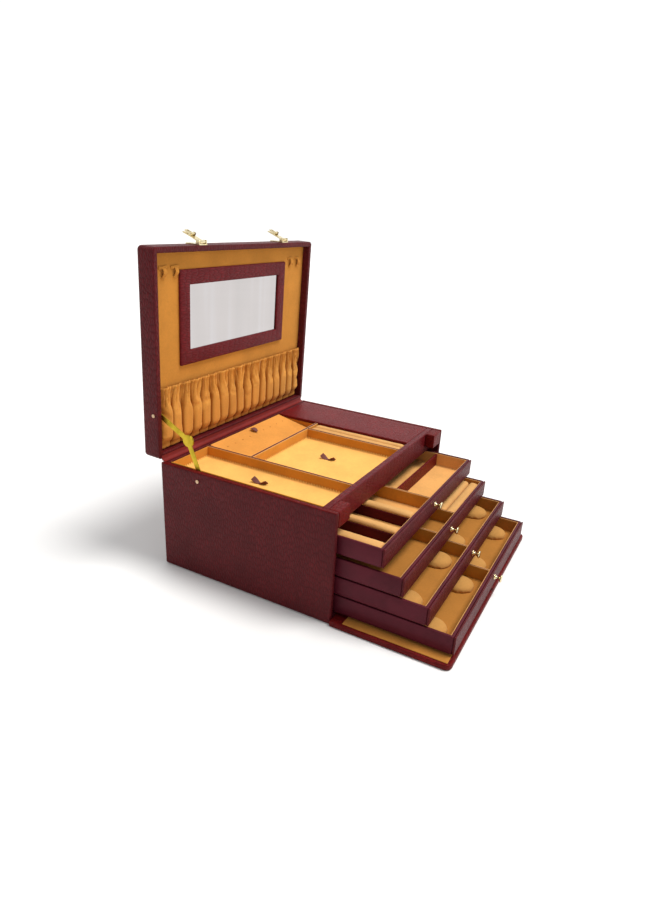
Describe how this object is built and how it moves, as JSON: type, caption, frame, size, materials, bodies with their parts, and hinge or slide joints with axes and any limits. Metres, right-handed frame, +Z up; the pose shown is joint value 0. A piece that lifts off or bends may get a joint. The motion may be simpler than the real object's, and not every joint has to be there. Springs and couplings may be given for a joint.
{
  "type": "leather jewellery case",
  "caption": "Leather-covered jewellery case with a mirrored flip-up lid on a folding stay, lift-out floor pads, a drop-down front flap and stacked pull-out drawers.",
  "frame": {"origin": "centre of the case's underside, which stands on the table", "axes": "+X along the case's width, +Y towards the hinged back, +Z up; the drawers pull out along -Y"},
  "size_m": [0.326, 0.4015, 0.3859],
  "materials": {
    "leather_case": "embossed burgundy leather, satin",
    "leather_trim": "smooth burgundy leather",
    "suede": "amber suede lining, matt",
    "board": "leather-papered board",
    "brass": "polished brass",
    "brass_stay": "yellow brass, satin",
    "steel_pin": "drawn wire",
    "mirror": "silvered glass"
  },
  "bodies": {
    "case": {"base_board": "leather_trim", "side_boards": "leather_case", "back_board": "leather_case", "shelf_boards": "board", "front_rail": "leather_case", "right_cover": "leather_case", "well_partitions": "leather_trim", "well_lining": "suede", "ring_rolls": "suede", "drawer_runners": "board", "hinge_leaves_case": "brass", "hinge_pins": "steel_pin", "stay_rivet_case": "brass"},
    "lid": {"lid_walls": "leather_case", "lid_top": "leather_case", "lid_lining": "suede", "mirror_frame": "leather_case", "mirror": "mirror", "elastic_pocket": "suede", "necklace_tabs": "suede", "hinge_leaf_lid": "brass", "hasp_plates": "brass", "stay_rivet_lid": "brass"},
    "stay_link_lower": {"stay_lower": "brass_stay"},
    "stay_link_upper": {"stay_upper": "brass_stay"},
    "flap": {"flap_board": "leather_case", "flap_lining": "suede", "flap_hinge_leaf": "brass", "catch_plates": "brass"},
    "hasp_left": {"hasp_lever_left": "brass"},
    "hasp_right": {"hasp_lever_right": "brass"},
    "hasp_left_loop": {"hasp_loop_left": "brass"},
    "hasp_right_loop": {"hasp_loop_right": "brass"},
    "left_floor_pad": {"left_pad": "suede", "left_pad_pull": "leather_trim"},
    "centre_floor_pad": {"centre_pad": "suede", "centre_pad_pull": "leather_trim"},
    "earring_flap": {"earring_panel": "suede", "earring_pull": "leather_trim"},
    "drawer_1": {"drawer_1_box": "leather_trim", "drawer_1_lining": "suede", "drawer_1_knob": "brass", "drawer_1_dividers": "leather_trim", "drawer_1_bars": "suede"},
    "drawer_2": {"drawer_2_box": "leather_trim", "drawer_2_lining": "suede", "drawer_2_knob": "brass", "drawer_2_dividers": "leather_trim", "drawer_2_rolls": "suede"},
    "drawer_3": {"drawer_3_box": "leather_trim", "drawer_3_lining": "suede", "drawer_3_knob": "brass", "drawer_3_divider": "leather_trim", "drawer_3_pads": "suede"},
    "drawer_4": {"drawer_4_box": "leather_trim", "drawer_4_lining": "suede", "drawer_4_knob": "brass", "drawer_4_divider": "leather_trim", "drawer_4_pads": "suede"}
  },
  "joints": [
    {"name": "lid_hinge", "type": "hinge", "parent": "case", "child": "lid", "pos_m": [0, 0.1178, 0.134], "axis": [-1, 0, 0], "range_deg": [-88.3, 0]},
    {"name": "stay_lower_pivot", "type": "hinge", "parent": "case", "child": "stay_link_lower", "pos_m": [-0.152, 0.062, 0.1235], "axis": [-1, 0, 0], "range_deg": [-108.47, 2]},
    {"name": "stay_upper_pivot", "type": "hinge", "parent": "lid", "child": "stay_link_upper", "pos_m": [-0.152, 0.1226, 0.1889], "axis": [-1, 0, 0], "range_deg": [-2, 104.55]},
    {"name": "flap_hinge", "type": "hinge", "parent": "case", "child": "flap", "pos_m": [0, -0.1224, 0.0034], "axis": [-1, 0, 0], "range_deg": [0, 1]},
    {"name": "hasp_left_lever", "type": "hinge", "parent": "lid", "child": "hasp_left", "pos_m": [-0.08, 0.11417, 0.3742], "axis": [1, 0, 0], "range_deg": [-17, 100]},
    {"name": "hasp_left_loop_pivot", "type": "hinge", "parent": "hasp_left", "child": "hasp_left_loop", "pos_m": [-0.08, 0.12722, 0.38197], "axis": [1, 0, 0], "range_deg": [0, 95]},
    {"name": "hasp_right_lever", "type": "hinge", "parent": "lid", "child": "hasp_right", "pos_m": [0.09, 0.11417, 0.3742], "axis": [1, 0, 0], "range_deg": [-17, 100]},
    {"name": "hasp_right_loop_pivot", "type": "hinge", "parent": "hasp_right", "child": "hasp_right_loop", "pos_m": [0.09, 0.12722, 0.38197], "axis": [1, 0, 0], "range_deg": [0, 95]},
    {"name": "left_pad_lift", "type": "slide", "parent": "case", "child": "left_floor_pad", "axis": [0, 0, 1], "range_m": [0, 0.04]},
    {"name": "centre_pad_lift", "type": "slide", "parent": "case", "child": "centre_floor_pad", "axis": [0, 0, 1], "range_m": [0, 0.04]},
    {"name": "earring_panel_hinge", "type": "hinge", "parent": "case", "child": "earring_flap", "pos_m": [0, 0.0488, 0.11953], "axis": [1, 0, 0], "range_deg": [0, 75]},
    {"name": "drawer_1_slide", "type": "slide", "parent": "case", "child": "drawer_1", "axis": [0, -1, 0], "range_m": [-0.064, 0.106]},
    {"name": "drawer_2_slide", "type": "slide", "parent": "case", "child": "drawer_2", "axis": [0, -1, 0], "range_m": [-0.088, 0.082]},
    {"name": "drawer_3_slide", "type": "slide", "parent": "case", "child": "drawer_3", "axis": [0, -1, 0], "range_m": [-0.118, 0.052]},
    {"name": "drawer_4_slide", "type": "slide", "parent": "case", "child": "drawer_4", "axis": [0, -1, 0], "range_m": [-0.148, 0.022]}
  ],
  "couplings": [
    {"joint": "stay_lower_pivot", "follows": "lid_hinge", "ratio": 1.2057},
    {"joint": "stay_upper_pivot", "follows": "lid_hinge", "ratio": -1.1614}
  ]
}
